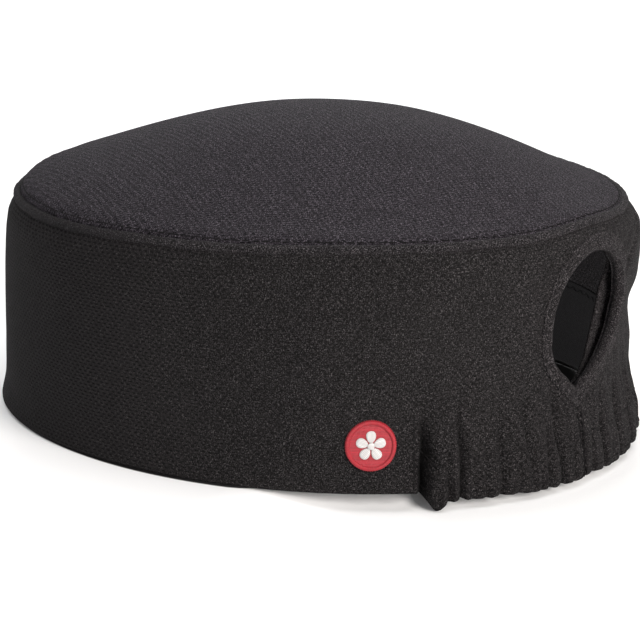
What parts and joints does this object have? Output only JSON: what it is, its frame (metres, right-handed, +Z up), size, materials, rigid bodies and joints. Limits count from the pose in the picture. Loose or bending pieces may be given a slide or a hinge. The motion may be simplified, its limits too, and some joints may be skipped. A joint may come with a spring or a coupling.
{
  "type": "chef beanie",
  "caption": "Low chef's skull cap: soft domed crown on a tall side band, elasticated back hem and a bound ponytail opening.",
  "frame": {"origin": "centre of the head opening, in the plane of the hem", "axes": "+Z up through the crown, -Y towards the front of the head, +Y towards the back with the ponytail opening, +X towards the wearer's left with the badge"},
  "size_m": [0.1712, 0.2004, 0.0904],
  "materials": {
    "knit_black": "matt micro-mesh knit, black",
    "knit_inside": "matt knit, black, inside face",
    "interlining": "stiff non-woven, off-white",
    "sweatband_terry": "soft brushed cloth, black",
    "elastic": "ribbed flat elastic, black",
    "thread_black": "polyester thread, black",
    "badge_red": "satin-stitched embroidery, red",
    "badge_edge": "satin-stitched edge, red",
    "badge_white": "satin-stitched embroidery, white",
    "label_white": "blank woven label, off-white"
  },
  "bodies": {
    "crown": {"crown_panel": "knit_black"},
    "band": {"band_front": "knit_black", "band_interfacing": "interlining", "band_lining": "knit_inside", "sweatband": "sweatband_terry", "crown_welt": "knit_black", "crown_seam_thread": "thread_black", "sweatband_stitch": "thread_black", "badge_ground": "badge_red", "badge_border": "badge_edge", "badge_motif": "badge_white", "care_label": "label_white", "elastic_tacks": "thread_black"},
    "back": {"band_back_left": "knit_black", "band_back_right": "knit_black", "back_elastic": "elastic", "back_casing": "knit_inside", "back_lining": "knit_inside", "keyhole_facing": "knit_inside", "keyhole_binding": "knit_black", "keyhole_topstitch": "thread_black", "casing_stitch_upper": "thread_black", "casing_stitch_lower": "thread_black", "centre_back_seam": "thread_black"}
  },
  "joints": [
    {"name": "crown_collapse", "type": "slide", "parent": "band", "child": "crown", "axis": [0, 0, 1], "range_m": [-0.03, 0], "stiffness_N_per_m": 50},
    {"name": "elastic_stretch", "type": "slide", "parent": "band", "child": "back", "axis": [0, 1, 0], "range_m": [0, 0.02], "stiffness_N_per_m": 300}
  ]
}
